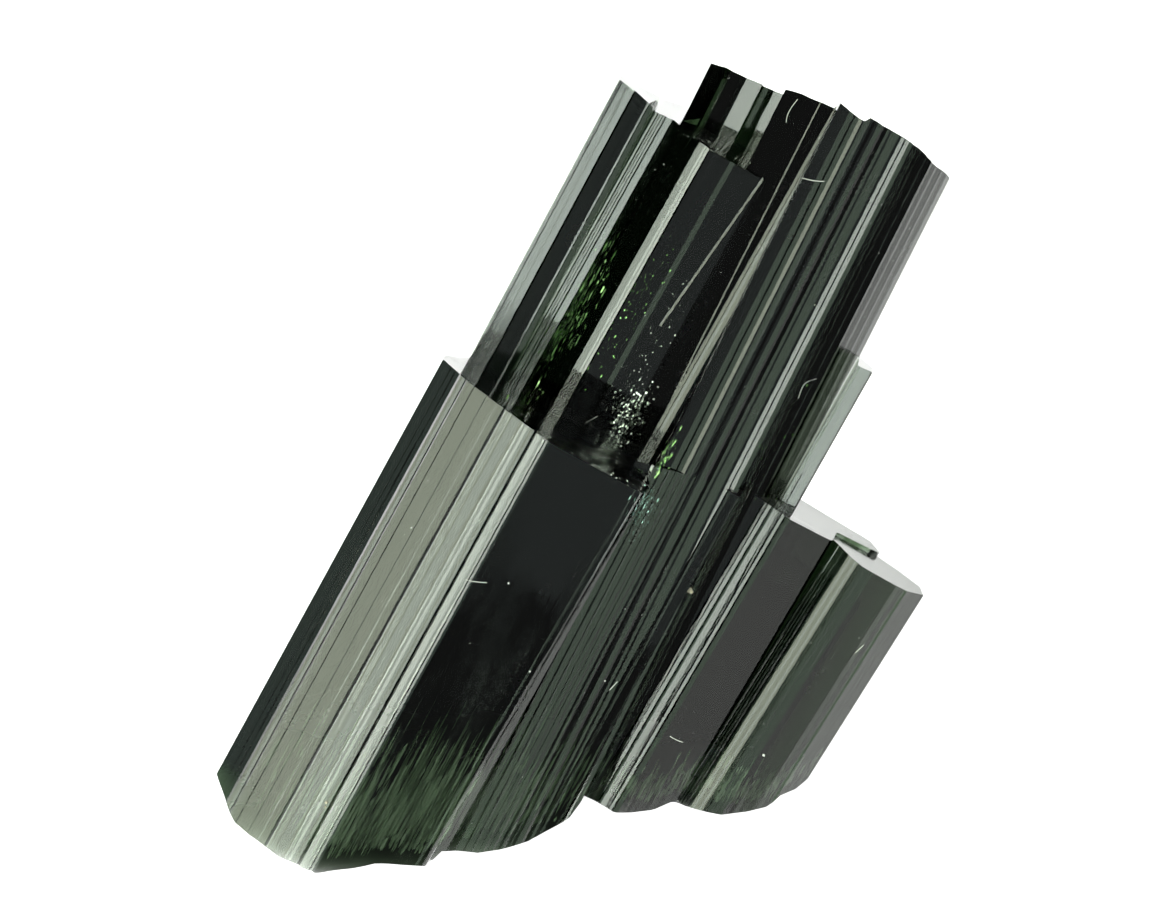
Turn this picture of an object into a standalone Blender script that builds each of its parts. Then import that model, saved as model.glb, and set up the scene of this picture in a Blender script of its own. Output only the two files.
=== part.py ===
"""A cluster of green tourmaline prisms that grew side by side and share one broken base.

Every prism is drawn as a flat outline in the cluster's own frame: "across" and "deep" in its
cross-section, "along" up the common crystal axis. The outlines are extruded, leaned a little
apart, joined in one solid, broken off unevenly at both ends and stood on the broken base.
"""
import math
import random

import bmesh
import bpy
from mathutils import Matrix, Vector, noise

MM = 0.001

# How the cluster stands: its axis leans from upright, towards a heading, and is turned on itself.
LEAN = math.radians(32.1)
LEAN_HEADING = math.radians(30.3)
TURN = math.radians(-42.3)
GROUND_Z = -13.8 * MM

# Fine grooves that run up the prism faces.
GROOVE_PITCH = 0.52 * MM
GROOVE_WIDTH = 0.10 * MM
GROOVE_DEPTH = 0.05 * MM
FACE_TOO_NARROW = 0.45 * MM
SEED = 11

ROOT_ALONG = -21.0
MERGE_DISTANCE = 0.01 * MM

# Each prism: where its outline is drawn, how high it ends at its first corner, how that end slopes
# across and deep, how far the prism leans across, and its corners.
PRISMS = {
    "front": {
        "drawn_at": 0.0,
        "top": 0.0,
        "lean": 0.0,
        "corners": [
            (-5.80, 3.30), (-5.77, 2.74), (-5.02, 2.02), (-4.95, 1.90), (-3.25, 1.10), (-3.16, 1.22), (-3.07, 1.04),
            (-2.00, 0.42), (-1.74, 0.34), (-1.42, 0.00), (1.95, -0.03), (2.05, 0.10), (2.30, 2.20),
            (2.20, 5.60), (-0.50, 8.20), (-3.70, 7.10), (-4.90, 5.20), (-5.30, 4.05), (-5.55, 3.75),
        ],
    },
    "left_spur": {
        "drawn_at": 1.0,
        "top": 11.07,
        "top_slope": (-0.25, -0.25),
        "lean": 0.1,
        "corners": [
            (-5.06, 4.70), (-5.03, 4.07), (-4.42, 4.27), (-3.83, 4.40), (-3.76, 4.48), (-3.50, 7.80),
            (-4.40, 7.60), (-4.92, 6.20),
        ],
    },
    "left": {
        "drawn_at": 1.0,
        "top": 10.15,
        "lean": 0.9,
        "corners": [
            (-3.73, 6.20), (-3.57, 6.28), (-3.00, 6.44), (-2.93, 6.48), (-1.80, 5.56), (-1.39, 5.34), (-1.33, 5.22),
            (0.62, 5.16), (0.74, 5.26), (1.20, 8.00), (-0.60, 9.00), (-2.90, 8.95), (-3.66, 8.30),
        ],
    },
    "tall": {
        "drawn_at": 0.0,
        "top": 17.0,
        "lean": -1.6,
        "corners": [
            (-2.24, 9.20), (-2.24, 6.95), (-1.60, 7.45), (-1.48, 7.36), (-0.96, 7.24), (-0.42, 7.10), (-0.26, 8.10),
            (-0.10, 8.20), (0.34, 8.08), (0.38, 5.36), (1.52, 5.14), (1.60, 3.50), (1.94, 3.32), (2.20, 1.75),
            (2.26, 1.20), (2.85, 1.22), (2.95, 1.06), (3.10, 1.16), (4.35, 1.02), (4.52, 1.10), (4.85, 0.96),
            (4.96, 1.12), (5.10, 1.90), (5.85, 2.35), (6.35, 2.90), (6.66, 4.20), (6.62, 8.60),
            (5.40, 10.40), (2.40, 11.00), (-0.90, 10.60),
        ],
    },
    "lower_front": {
        "drawn_at": 0.0,
        "top": 0.10,
        "top_slope": (0.22, -0.30),
        "lean": -1.5,
        "corners": [
            (1.50, 2.60), (1.52, 0.96), (2.05, 0.95), (2.13, 0.90), (2.40, 0.93), (2.66, 0.87), (3.10, 0.90),
            (3.70, 0.85), (4.22, 0.88), (4.72, 0.93), (4.80, 2.40),
        ],
    },
    "sliver": {
        "drawn_at": 1.1,
        "top": 1.16,
        "lean": 0.5,
        "corners": [(4.62, 2.20), (4.66, 0.98), (5.13, 0.96), (5.16, 2.40)],
    },
    "ledge": {
        "drawn_at": 2.0,
        "top": 6.72,
        "lean": 1.0,
        "corners": [(6.30, 2.60), (6.60, 2.14), (6.93, 2.06), (6.99, 2.22), (6.93, 3.10), (6.30, 3.60)],
    },
    "right": {
        "drawn_at": 1.1,
        "top": 1.14,
        "lean": 1.9,
        "corners": [
            (5.10, 2.60), (5.14, 2.02), (5.93, 1.99), (5.98, 1.90), (6.22, 1.83), (6.72, 1.64), (6.98, 1.60),
            (7.67, 1.68), (8.50, 1.88), (8.60, 3.25), (10.12, 3.66), (10.18, 3.84), (9.77, 4.50), (6.40, 4.72), (4.60, 6.20),
        ],
    },
    "back": {
        "drawn_at": -1.5,
        "top": -1.5,
        "lean": 1.0,
        "corners": [
            (6.20, 4.30), (8.20, 4.40), (8.95, 4.75), (9.45, 5.80), (9.30, 7.20), (8.45, 8.40), (7.60, 8.85),
            (6.10, 9.30), (5.50, 7.00),
        ],
    },
    "far_right": {
        "drawn_at": 0.9,
        "top": 0.86,
        "lean": 3.5,
        "corners": [
            (8.42, 2.90), (8.52, 2.74), (8.93, 2.13), (9.28, 1.92), (9.70, 1.62), (9.80, 1.72), (10.29, 1.57),
            (11.03, 1.73), (11.24, 1.82), (11.56, 1.92), (11.62, 2.04), (12.17, 2.66), (11.92, 3.30),
            (11.03, 3.68), (10.20, 3.86), (8.80, 3.60),
        ],
    },
}

# The tall prism's broken top, seen square on: how high each place across ends.
TOP_BREAK = [
    (-2.7, 14.36), (-2.05, 14.52), (-0.80, 14.60), (0.02, 14.70), (0.55, 14.86), (1.85, 14.95), (2.25, 14.86),
    (2.60, 14.76), (2.88, 14.76), (2.96, 14.95), (4.30, 14.94), (5.00, 14.86), (5.50, 14.72), (6.40, 14.60),
]
TOP_BREAK_SLOPE = -0.29
TOP_BREAK_ROUGHNESS = 0.05

# The broken base, seen square on: how low each place across ends.
BASE_BREAK = [
    (-6.6, -14.6), (-5.83, -15.5), (-5.40, -16.0), (-5.00, -16.5), (-4.60, -16.85), (-4.00, -17.0), (-2.90, -17.15),
    (-1.90, -17.3), (-1.30, -17.0), (-0.40, -16.3), (0.20, -15.8), (0.80, -15.5), (1.86, -14.95), (1.92, -14.4),
    (2.40, -14.1), (3.10, -13.8), (3.70, -13.3), (4.40, -12.6), (5.10, -11.5), (5.30, -11.1), (5.36, -10.3),
    (6.50, -10.3), (7.00, -10.0), (7.60, -9.6), (8.05, -9.0), (8.50, -8.95), (9.00, -8.8), (9.70, -8.6),
    (10.40, -8.1), (10.95, -7.6), (11.10, -7.1), (11.50, -6.6), (11.75, -5.9), (12.6, -4.6),
]
BASE_BREAK_SLOPE = -0.25
BASE_BREAK_ROUGHNESS = 0.10

# Behind its front edge the base is hollowed unevenly, around the flat pads that it stands on.
HOLLOW_DEPTH = 1.5
HOLLOW_GRAIN = 0.42
HOLLOW_BIAS = 0.12
HOLLOW_FROM, HOLLOW_FULL = 2.6, 4.2
PADS = [(0.6, 5.4), (7.9, 6.3)]
PAD_RADIUS, PAD_FADE = 1.5, 1.0

BREAK_STEP = 0.42
BREAK_GRAIN = 0.9
TOP_LAYER, EDGE_LAYER, HOLLOW_LAYER = 7.7, 3.1, 5.3

# The cutters reach this far along, well clear of the prisms, and the ground cutter is this wide.
TOP_CUTTER_END, BASE_CUTTER_END = 24 * MM, -26 * MM
GROUND_CUTTER_SIZE = 80 * MM
UNIT_GRID = 0.5

SPAN_ACROSS = (-7.0, 13.4)
SPAN_DEEP = (-1.5, 12.5)


def clear_scene():
    for old in list(bpy.data.objects):
        bpy.data.objects.remove(old, do_unlink=True)


def new_collection(name):
    collection = bpy.data.collections.new(name)
    bpy.context.scene.collection.children.link(collection)
    return collection


def cluster_pose():
    """The turn that takes (across, deep, along) to the standing cluster."""
    heading = Matrix.Rotation(LEAN_HEADING, 4, "Z")
    return heading @ Matrix.Rotation(LEAN, 4, "Y") @ Matrix.Rotation(TURN, 4, "Z")


def grooved(corners, chance):
    """The outline with a shallow V groove at uneven places along each wide face."""
    points = []
    for here, there in zip(corners, corners[1:] + corners[:1]):
        start, end = Vector(here) * MM, Vector(there) * MM
        run = end - start
        points.append(start)
        if run.length < FACE_TOO_NARROW:
            continue
        along, inward = run.normalized(), Vector((-run.y, run.x)).normalized()
        count = max(1, round(run.length / GROOVE_PITCH) - 1)
        for index in range(count):
            place = (index + 1 + chance.uniform(-0.3, 0.3)) / (count + 1) * run.length
            half = GROOVE_WIDTH * chance.uniform(0.35, 0.65)
            deep = GROOVE_DEPTH * chance.uniform(0.6, 1.3)
            points += [start + along * (place - half), start + along * place + inward * deep,
                       start + along * (place + half)]
    return points


def area_of(points):
    return sum(a.x * b.y - b.x * a.y for a, b in zip(points, points[1:] + points[:1])) / 2


def prism(name, spec, chance, collection):
    """A grooved outline as a 2D curve, extruded up the axis and leaned about where it is drawn."""
    corners = spec["corners"]
    if area_of([Vector(corner) for corner in corners]) < 0:
        corners = corners[::-1]
    points = grooved(corners, chance)
    curve = bpy.data.curves.new(name, "CURVE")
    curve.dimensions = "2D"
    curve.fill_mode = "BOTH"
    curve.extrude = (spec["top"] - ROOT_ALONG) / 2 * MM
    spline = curve.splines.new("POLY")
    spline.points.add(len(points) - 1)
    for slot, point in zip(spline.points, points):
        slot.co = (point.x, point.y, 0, 1)
    spline.use_cyclic_u = True
    outline = bpy.data.objects.new(name + "_outline", curve)
    collection.objects.link(outline)
    bpy.context.view_layer.update()

    seen = outline.evaluated_get(bpy.context.evaluated_depsgraph_get())
    mesh = bpy.data.meshes.new_from_object(seen)
    middle = (spec["top"] + ROOT_ALONG) / 2 * MM
    solid = bmesh.new()
    solid.from_mesh(mesh)
    bmesh.ops.remove_doubles(solid, verts=solid.verts, dist=MERGE_DISTANCE)
    slope_across, slope_deep = spec.get("top_slope", (0, 0))
    first = Vector(spec["corners"][0]) * MM
    for vert in solid.verts:
        if vert.co.z > 0:
            vert.co.z += slope_across * (vert.co.x - first.x) + slope_deep * (vert.co.y - first.y)
    foot = Vector((sum(x for x, _ in corners) / len(corners) * MM, 0, spec["drawn_at"] * MM))
    lean = Matrix.Rotation(math.radians(spec["lean"]), 4, "Y")
    leaned = Matrix.Translation(foot) @ lean @ Matrix.Translation(Vector((0, 0, middle)) - foot)
    bmesh.ops.transform(solid, verts=solid.verts, matrix=leaned)
    bmesh.ops.recalc_face_normals(solid, faces=solid.faces)
    solid.to_mesh(mesh)
    solid.free()
    bpy.data.objects.remove(outline, do_unlink=True)
    body = bpy.data.objects.new(name, mesh)
    collection.objects.link(body)
    return body


def read_off(profile, place):
    """The height of a broken line at a place across."""
    for (x0, y0), (x1, y1) in zip(profile, profile[1:]):
        if x0 <= place <= x1:
            return y0 + (y1 - y0) * (place - x0) / (x1 - x0)
    return profile[0][1] if place < profile[0][0] else profile[-1][1]


def eased(value, start, full):
    """0 at start, 1 at full, and smooth between."""
    share = min(max((value - start) / (full - start), 0), 1)
    return share * share * (3 - 2 * share)


def chips(across, deep, layer, grain):
    return noise.noise(Vector((across * grain, deep * grain, layer)))


def top_height(across, deep):
    rough = chips(across, deep, TOP_LAYER, BREAK_GRAIN) * TOP_BREAK_ROUGHNESS
    return read_off(TOP_BREAK, across) + TOP_BREAK_SLOPE * deep + rough


def ground_height(across, deep):
    """Where the level that the cluster stands on crosses the axis direction."""
    up = cluster_pose().to_3x3().transposed() @ Vector((0, 0, 1))
    return (GROUND_Z / MM - up.x * across - up.y * deep) / up.z


def base_height(across, deep):
    rough = chips(across, deep, EDGE_LAYER, BREAK_GRAIN) * BASE_BREAK_ROUGHNESS
    edge = read_off(BASE_BREAK, across) + BASE_BREAK_SLOPE * deep + rough
    from_pad = min((Vector((across, deep)) - Vector(pad)).length for pad in PADS)
    share = eased(deep, HOLLOW_FROM, HOLLOW_FULL) * eased(from_pad, PAD_RADIUS, PAD_RADIUS + PAD_FADE)
    hollow = (chips(across, deep, HOLLOW_LAYER, HOLLOW_GRAIN) + HOLLOW_BIAS) * HOLLOW_DEPTH * share
    return max(edge, ground_height(across, deep) + hollow)


def break_cutter(name, height, far_end, collection):
    """A slab with one uneven side that follows a height function, to break the prisms off at."""
    columns = round((SPAN_ACROSS[1] - SPAN_ACROSS[0]) / BREAK_STEP)
    rows = round((SPAN_DEEP[1] - SPAN_DEEP[0]) / BREAK_STEP)
    slab = bmesh.new()
    bmesh.ops.create_grid(slab, x_segments=columns, y_segments=rows, size=UNIT_GRID)
    for vert in slab.verts:
        across = SPAN_ACROSS[0] + (vert.co.x + UNIT_GRID) * (SPAN_ACROSS[1] - SPAN_ACROSS[0])
        deep = SPAN_DEEP[0] + (vert.co.y + UNIT_GRID) * (SPAN_DEEP[1] - SPAN_DEEP[0])
        vert.co = Vector((across, deep, height(across, deep))) * MM
    walls = bmesh.ops.extrude_face_region(slab, geom=slab.faces[:])
    for vert in (part for part in walls["geom"] if isinstance(part, bmesh.types.BMVert)):
        vert.co.z = far_end
    bmesh.ops.recalc_face_normals(slab, faces=slab.faces)
    mesh = bpy.data.meshes.new(name)
    slab.to_mesh(mesh)
    slab.free()
    return hidden_cutter(name, mesh, collection)


def ground_cutter(collection):
    """Everything under the level that the cluster stands on, in the cluster's own frame."""
    block = bmesh.new()
    bmesh.ops.create_cube(block, size=GROUND_CUTTER_SIZE)
    bmesh.ops.translate(block, verts=block.verts, vec=(0, 0, GROUND_Z - GROUND_CUTTER_SIZE / 2))
    bmesh.ops.transform(block, verts=block.verts, matrix=cluster_pose().inverted())
    mesh = bpy.data.meshes.new("ground_cutter")
    block.to_mesh(mesh)
    block.free()
    return hidden_cutter("ground_cutter", mesh, collection)


def hidden_cutter(name, mesh, collection):
    cutter = bpy.data.objects.new(name, mesh)
    collection.objects.link(cutter)
    cutter.hide_render = True
    cutter.display_type = "WIRE"
    return cutter


def boolean(body, other, operation):
    """Applies one exact Boolean to the body's mesh."""
    step = body.modifiers.new(operation.lower(), "BOOLEAN")
    step.object = other
    step.operation = operation
    step.solver = "EXACT"
    bpy.context.view_layer.update()
    result = bpy.data.meshes.new_from_object(body.evaluated_get(bpy.context.evaluated_depsgraph_get()))
    body.modifiers.clear()
    body.data = result


def stand_up(cluster):
    """Stands the cluster on its base, with the middle of its footprint's box at the origin."""
    pose = cluster_pose()
    spots = [pose @ vert.co for vert in cluster.data.vertices]
    low = [min(spot[axis] for spot in spots) for axis in range(3)]
    high = [max(spot[axis] for spot in spots) for axis in range(3)]
    shift = (-(low[0] + high[0]) / 2, -(low[1] + high[1]) / 2, -low[2])
    cluster.matrix_world = Matrix.Translation(shift) @ pose


def tourmaline_material():
    """Bottle-green glassy stone, so dark that thick places look black."""
    material = bpy.data.materials.new("green_tourmaline")
    material.use_nodes = True
    shader = material.node_tree.nodes["Principled BSDF"]
    shader.inputs["Base Color"].default_value = (0.02, 0.06, 0.03, 1)
    shader.inputs["Roughness"].default_value = 0.06
    shader.inputs["Metallic"].default_value = 0
    shader.inputs["IOR"].default_value = 1.63
    return material


def build():
    clear_scene()
    specimen = new_collection("tourmaline_cluster")
    cutters = new_collection("cutters")
    chance = random.Random(SEED)
    bodies = {name: prism(name, spec, chance, specimen) for name, spec in PRISMS.items()}
    top_break = break_cutter("top_break_cutter", top_height, TOP_CUTTER_END, cutters)
    boolean(bodies["tall"], top_break, "DIFFERENCE")

    cluster = bodies.pop("front")
    for body in bodies.values():
        boolean(cluster, body, "UNION")
        bpy.data.objects.remove(body, do_unlink=True)
    base_break = break_cutter("base_break_cutter", base_height, BASE_CUTTER_END, cutters)
    boolean(cluster, base_break, "DIFFERENCE")
    boolean(cluster, ground_cutter(cutters), "DIFFERENCE")

    cluster.name = "tourmaline_cluster"
    stand_up(cluster)
    mesh = cluster.data
    mesh.materials.clear()
    mesh.materials.append(tourmaline_material())


build()
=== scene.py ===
import math
import random

import bmesh
import bpy
from mathutils import Matrix, Vector, noise
from mathutils.bvhtree import BVHTree


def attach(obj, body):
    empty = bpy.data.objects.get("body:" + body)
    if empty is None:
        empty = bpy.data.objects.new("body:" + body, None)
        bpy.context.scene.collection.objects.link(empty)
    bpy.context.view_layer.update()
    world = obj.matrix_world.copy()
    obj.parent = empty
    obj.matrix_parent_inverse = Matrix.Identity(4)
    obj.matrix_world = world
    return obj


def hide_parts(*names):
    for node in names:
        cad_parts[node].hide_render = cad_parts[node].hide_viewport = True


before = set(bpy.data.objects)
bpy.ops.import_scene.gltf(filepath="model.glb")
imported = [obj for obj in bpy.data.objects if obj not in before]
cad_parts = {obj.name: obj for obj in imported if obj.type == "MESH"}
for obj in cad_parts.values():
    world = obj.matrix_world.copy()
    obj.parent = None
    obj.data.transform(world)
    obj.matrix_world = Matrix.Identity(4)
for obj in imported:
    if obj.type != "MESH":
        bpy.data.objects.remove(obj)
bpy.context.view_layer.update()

mm = 0.001

# how the crystal axis stands in the row, as the solid has it
stand = {"lean": 32.1, "heading": 30.3, "turn": -42.3, "origin": (0.0272, -4.3537, 13.8)}

# originBelow is how far under the middle of the view the crystal axis starts
view = {"elevation": 34.0, "distance": 500.0, "frameWide": 39.0, "originBelow": 0.15, "sensor": 36,
        "clipNear": 0.01, "clipFar": 10}

# the lit table in metres, and how its glow and the room's faint light are set
table = {"wide": 0.9, "deep": 0.62, "shift": 0.27, "under": 0.00002, "paper": 0.9, "rough": 0.9, "shine": 0.1}
room = {"dim": 0.10, "dimColour": (0.92, 1, 0.95, 1), "tableNear": 1.12, "tableFar": 2.8, "nearEnds": 0.045,
        "farStarts": 0.105}

# tall soft lights: from and to are the angles they fill round the crystal, negative on the left;
# a flipped one lights what the broken tops mirror, and raised moves one up along the axis
softboxes = {
    "farLeft": {"from": -100, "to": -77, "radiance": 0.42, "tint": (0.74, 1, 0.84)},
    "leftWarm": {"from": -66, "to": -54, "radiance": 4.2, "tint": (0.90, 1, 0.78)},
    "leftMiddle": {"from": -54, "to": -50, "radiance": 5.6, "tint": (0.88, 1, 0.84)},
    "leftBright": {"from": -50, "to": -40, "radiance": 9.5, "tint": (0.90, 1, 0.86)},
    "leftFront": {"from": -40, "to": -31, "radiance": 6.5, "tint": (0.90, 1, 0.88)},
    "frontFaint": {"from": -9, "to": 3.5, "radiance": 0.22, "tint": (0.85, 1, 0.97), "raised": 125},
    "frontRightGreen": {"from": 3, "to": 17, "radiance": 1.1, "tint": (0.76, 1, 0.76)},
    "frontRightDim": {"from": 17, "to": 30, "radiance": 0.8, "tint": (0.98, 1, 0.95)},
    "upperLeft": {"from": -66, "to": -34, "radiance": 7, "tint": (0.90, 1, 0.84), "flipped": True},
    "upperRight": {"from": 33, "to": 50, "radiance": 6, "tint": (0.90, 1, 0.9), "flipped": True},
}
softboxReach = {"distance": 420, "tall": 260, "middle": (3, -2, 13)}
# flat on the table, the near and far halves of the low right light
floorCards = {
    "lowRightNear": {"at": (29, -62, 0.8), "aim": (0, 0, 1), "upright": (0.39, -0.92, 0), "size": (20, 34),
                     "radiance": 6.5, "tint": (0.88, 1, 0.90)},
    "lowRightFar": {"at": (49, -112, 0.8), "aim": (0, 0, 1), "upright": (0.39, -0.92, 0), "size": (38, 74),
                    "radiance": 6.5, "tint": (0.88, 1, 0.90)},
}

# every prism, in mm and degrees: faces run from left to right as (ends at across, facing, unevenness),
# or as a plain (across, deep) corner
frontPrism = {
    "drawnAt": 0.0, "top": 0.0, "lean": 0.5, "start": (-5.80, 3.30), "edge": (1.9, 1.0, 0.13, 1.5),
    "faces": [
        (-5.79, 2.70), (-5.64, -40, 1.5), (-5.42, -42, 1.5), (-5.40, -36, 0), (-5.22, -41, 1.5),
        (-5.20, -33, 0),
        (-5.06, -43, 1.5), (-4.99, -62, 0), (-4.97, -31, 0), (-4.80, -27, 1), (-4.73, -64, 0),
        (-4.58, -27, 0.6), (-4.44, -29.5, 0.6), (-4.41, -10, 0), (-4.05, -28, 0.7), (-3.92, -29.5, 0.5),
        (-3.90, -45, 0), (-3.62, -28.5, 0.8), (-3.46, -27.2, 0.8), (-3.23, -28.4, 0.6),
        (-3.19, -70, 0), (-3.13, 14, 0), (-3.09, -24, 0), (-2.60, -26.6, 0.5), (-2.36, -26.2, 0.8),
        (-2.18, -24.6, 1.2), (-2.03, -26.4, 1.6), (-1.95, -25.6, 1), (-1.89, -8, 0), (-1.84, -68, 0),
        (-1.72, -22.4, 0.8), (-1.60, -23.6, 1.6), (-1.50, -25.4, 1.8), (-1.46, -8, 0), (-1.38, -18, 0),
        (-1.30, -46, 0), (2.02, 0, 0.5), (2.04, 19, 0), (2.08, 40, 0), (2.13, 54, 0),
    ],
    "back": [
        (2.30, 2.20), (2.20, 5.60), (-0.50, 8.20), (-3.70, 7.10), (-4.90, 5.20), (-5.30, 4.05),
        (-5.55, 3.75),
    ],
}
spurPrism = {
    "drawnAt": 1.0, "top": 11.07, "lean": 0.1, "start": (-5.06, 4.70), "slope": (-0.25, 0.0),
    "faces": [
        (-5.04, 4.12), (-5.00, -24, 0), (-4.92, 18, 1), (-4.89, 60, 0), (-4.66, 19, 0.8), (-4.64, 60, 0),
        (-4.42, 19, 0.8), (-4.36, 50, 0), (-3.84, -2, 1.2), (-3.78, 19, 0), (-3.76, 50, 0),
    ],
    "back": [(-3.50, 6.40), (-4.40, 5.30), (-4.95, 4.85)],
}
# the spur's thicker back half
spurCorePrism = {
    "drawnAt": 1.0, "top": 10.90, "lean": 0.1, "start": (-4.98, 4.95), "slope": (-0.25, -0.25),
    "faces": [(-4.90, 4.50), (-3.60, 4.62)],
    "back": [(-3.50, 7.80), (-4.40, 7.60), (-4.88, 6.20)],
}
leftPrism = {
    "drawnAt": 1.0, "top": 10.15, "lean": 0.9, "start": (-3.73, 6.20),
    "faces": [
        (-3.58, -3, 1), (-3.52, 19, 0), (-3.47, -6, 0), (-3.42, 19, 0), (-3.39, 58, 0), (-3.33, 18, 0),
        (-3.30, -8, 0), (-3.24, 20, 0), (-3.19, -9, 0), (-2.97, 19, 0.6), (-2.93, 48, 0), (-2.50, -38, 1.5),
        (-1.82, -41, 1.5), (-1.60, -26, 0.6), (-1.42, -24.6, 0.8), (-1.37, -70, 0), (-0.60, 0, 1.0),
        (-0.42, 3.6, 0.4), (0.66, -1.5, 1.0), (0.76, -9, 0),
    ],
    "back": [(1.20, 8.00), (-0.60, 9.00), (-2.90, 8.95), (-3.66, 8.30)],
}
# a thin rib that slants across the left prism's face
slantPrism = {
    "drawnAt": 5.0, "top": 10.2, "lean": 6.47, "start": (0.15, 5.60),
    "faces": [(0.16, 5.150), (0.24, -27.6, 0.5), (0.26, 50, 0)],
    "back": [(0.27, 5.60)], "root": 4.0,
}
tallPrism = {
    "drawnAt": 0.0, "top": 17.0, "lean": -1.6, "start": (-2.24, 9.20),
    "faces": [
        (-2.24, 6.95), (-1.57, 40, 1.5), (-1.50, 20, 0), (-0.95, -8, 1.5), (-0.38, -17, 0.8), (-0.30, 8.00),
        (-0.04, 6, 1), (0.38, -17, 0.8), (0.40, 5.36), (1.62, -8, 0.8), (1.67, -28, 0), (2.18, -7, 1.0),
        (2.20, 1.75), (2.26, 1.28), (2.66, -2, 1.5), (2.84, 6, 1.5), (2.90, -36, 0), (3.05, 4, 1.5),
        (3.17, -31, 0),
        (3.50, 2, 2.5), (3.60, -9, 2.0), (3.92, 4, 3.0), (4.05, -12, 2.0), (4.58, 2, 3.5), (4.70, -17.5, 0.8),
        (4.74, -8, 0), (4.88, -17, 0.8), (5.02, 4, 1), (5.10, 1.90), (5.32, -8, 1.5), (5.327, 87, 0),
        (5.60, -8, 1.5), (5.607, 87, 0), (5.84, -7, 1.5), (5.855, 87, 0), (5.90, 62, 0), (6.04, 46, 3.0),
        (6.10, 64, 0), (6.28, 50, 3.0), (6.33, 66, 0), (6.50, 58, 3.0), (6.62, 70, 3.0),
    ],
    "back": [(6.66, 4.60), (6.62, 8.60), (5.40, 10.40), (2.40, 11.00), (-0.90, 10.60)],
}
ribPrism = {
    "drawnAt": 1.0, "top": 13.9, "lean": 0.8, "start": (1.58, 5.60),
    "faces": [(1.58, 3.50), (1.68, -28, 0), (1.70, -8, 0), (1.94, -28, 0.8), (2.20, 1.80)],
    "back": [(2.60, 1.90), (2.60, 5.60)],
}
lowerPrism = {
    "drawnAt": 0.0, "top": 0.10, "lean": -0.9, "start": (1.50, 2.60), "slope": (0.22, -0.30),
    "faces": [
        (1.52, 1.12), (2.05, -1.5, 0.6), (2.14, -22.5, 0.3), (2.17, 60, 0), (2.38, 5, 3.5),
        (2.40, -50, 0), (2.62, 6, 3), (2.65, -9, 0), (2.86, 6, 3.5), (2.88, -10, 0), (3.12, 6, 3.5),
        (3.14, -50, 0),
        (3.40, 5, 3.5), (3.42, -9, 0), (3.68, 6, 3.5), (3.71, -40, 0), (3.97, 5, 3.5), (3.99, -8, 0),
        (4.24, 6, 3.5),
        (4.27, -40, 0), (4.60, 5, 3.5), (4.70, 8, 2), (4.74, 60, 0),
    ],
    "back": [(4.78, 2.40)],
}
splinterPrism = {
    "drawnAt": 0.0, "top": -3.6, "lean": 0.0, "start": (2.09, 1.60),
    "faces": [(2.09, 1.102), (2.17, -22.5, 0.3), (2.19, 50, 0)],
    "back": [(2.19, 1.60)],
}
wedgePrism = {
    "drawnAt": 1.1, "top": 1.16, "lean": 0.5, "start": (4.62, 2.20),
    "faces": [(4.66, 0.98), (4.72, -12, 0), (5.13, -1.5, 1.5)],
    "back": [(5.16, 2.40)],
}
ledgePrism = {
    "drawnAt": 2.0, "top": 6.72, "lean": 1.0, "start": (6.42, 2.70),
    "faces": [(6.44, 2.34), (6.50, 19, 0), (6.53, -48, 0), (6.62, 21, 1), (6.93, 18, 0.6), (6.99, 48, 0)],
    "back": [(6.93, 3.10), (6.30, 3.60)],
}
rightPrism = {
    "drawnAt": 1.1, "top": 1.14, "lean": 1.9, "start": (5.10, 2.60),
    "faces": [
        (5.14, 2.02), (5.93, -2, 1.5), (5.98, -60, 0), (6.22, -17, 0.8), (6.27, -55, 0), (6.33, 4, 0),
        (6.76, -17, 1.2), (6.82, -45, 0), (6.98, 2, 1), (8.48, 10.5, 0.8), (8.56, 58, 0),
    ],
    "back": [(8.60, 3.25), (10.12, 3.66), (10.18, 3.84), (9.77, 4.50), (6.40, 4.72), (4.60, 6.20)],
}
farPrism = {
    "drawnAt": 0.9, "top": 0.86, "lean": 3.5, "start": (8.42, 3.00),
    "faces": [
        (8.46, 2.84), (8.74, -52, 2.0), (8.79, 19, 0), (8.83, -74, 0), (8.91, 18, 0), (8.94, -76, 0),
        (9.00, 20, 0),
        (9.04, -74, 0), (9.09, 17, 0), (9.12, -75, 0), (9.22, 19, 0), (9.27, -74, 0), (9.68, -28.5, 1.2),
        (9.71, -62, 0), (9.76, 3, 0), (9.80, -58, 0),
        (10.29, 6, 0.9), (11.16, 10, 0.9), (11.50, 22, 0.8), (11.56, 4, 0), (12.14, 51, 1.2),
    ],
    "back": [(11.92, 3.34), (11.03, 3.68), (10.20, 3.86), (8.80, 3.60)],
}
backPrism = {
    "drawnAt": -1.5, "top": -1.5, "lean": 1.0, "start": (6.20, 4.30),
    "faces": [],
    "back": [
        (8.20, 4.40), (8.95, 4.75), (9.45, 5.80), (9.30, 7.20), (8.45, 8.40), (7.60, 8.85), (6.10, 9.30),
        (5.50, 7.00),
    ],
}
growth = {"finest": 0.035, "coarsest": 0.10, "backPitch": 0.16, "backUneven": 7.0, "backShift": 0.35,
          "root": -21.0, "seed": 4}

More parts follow.
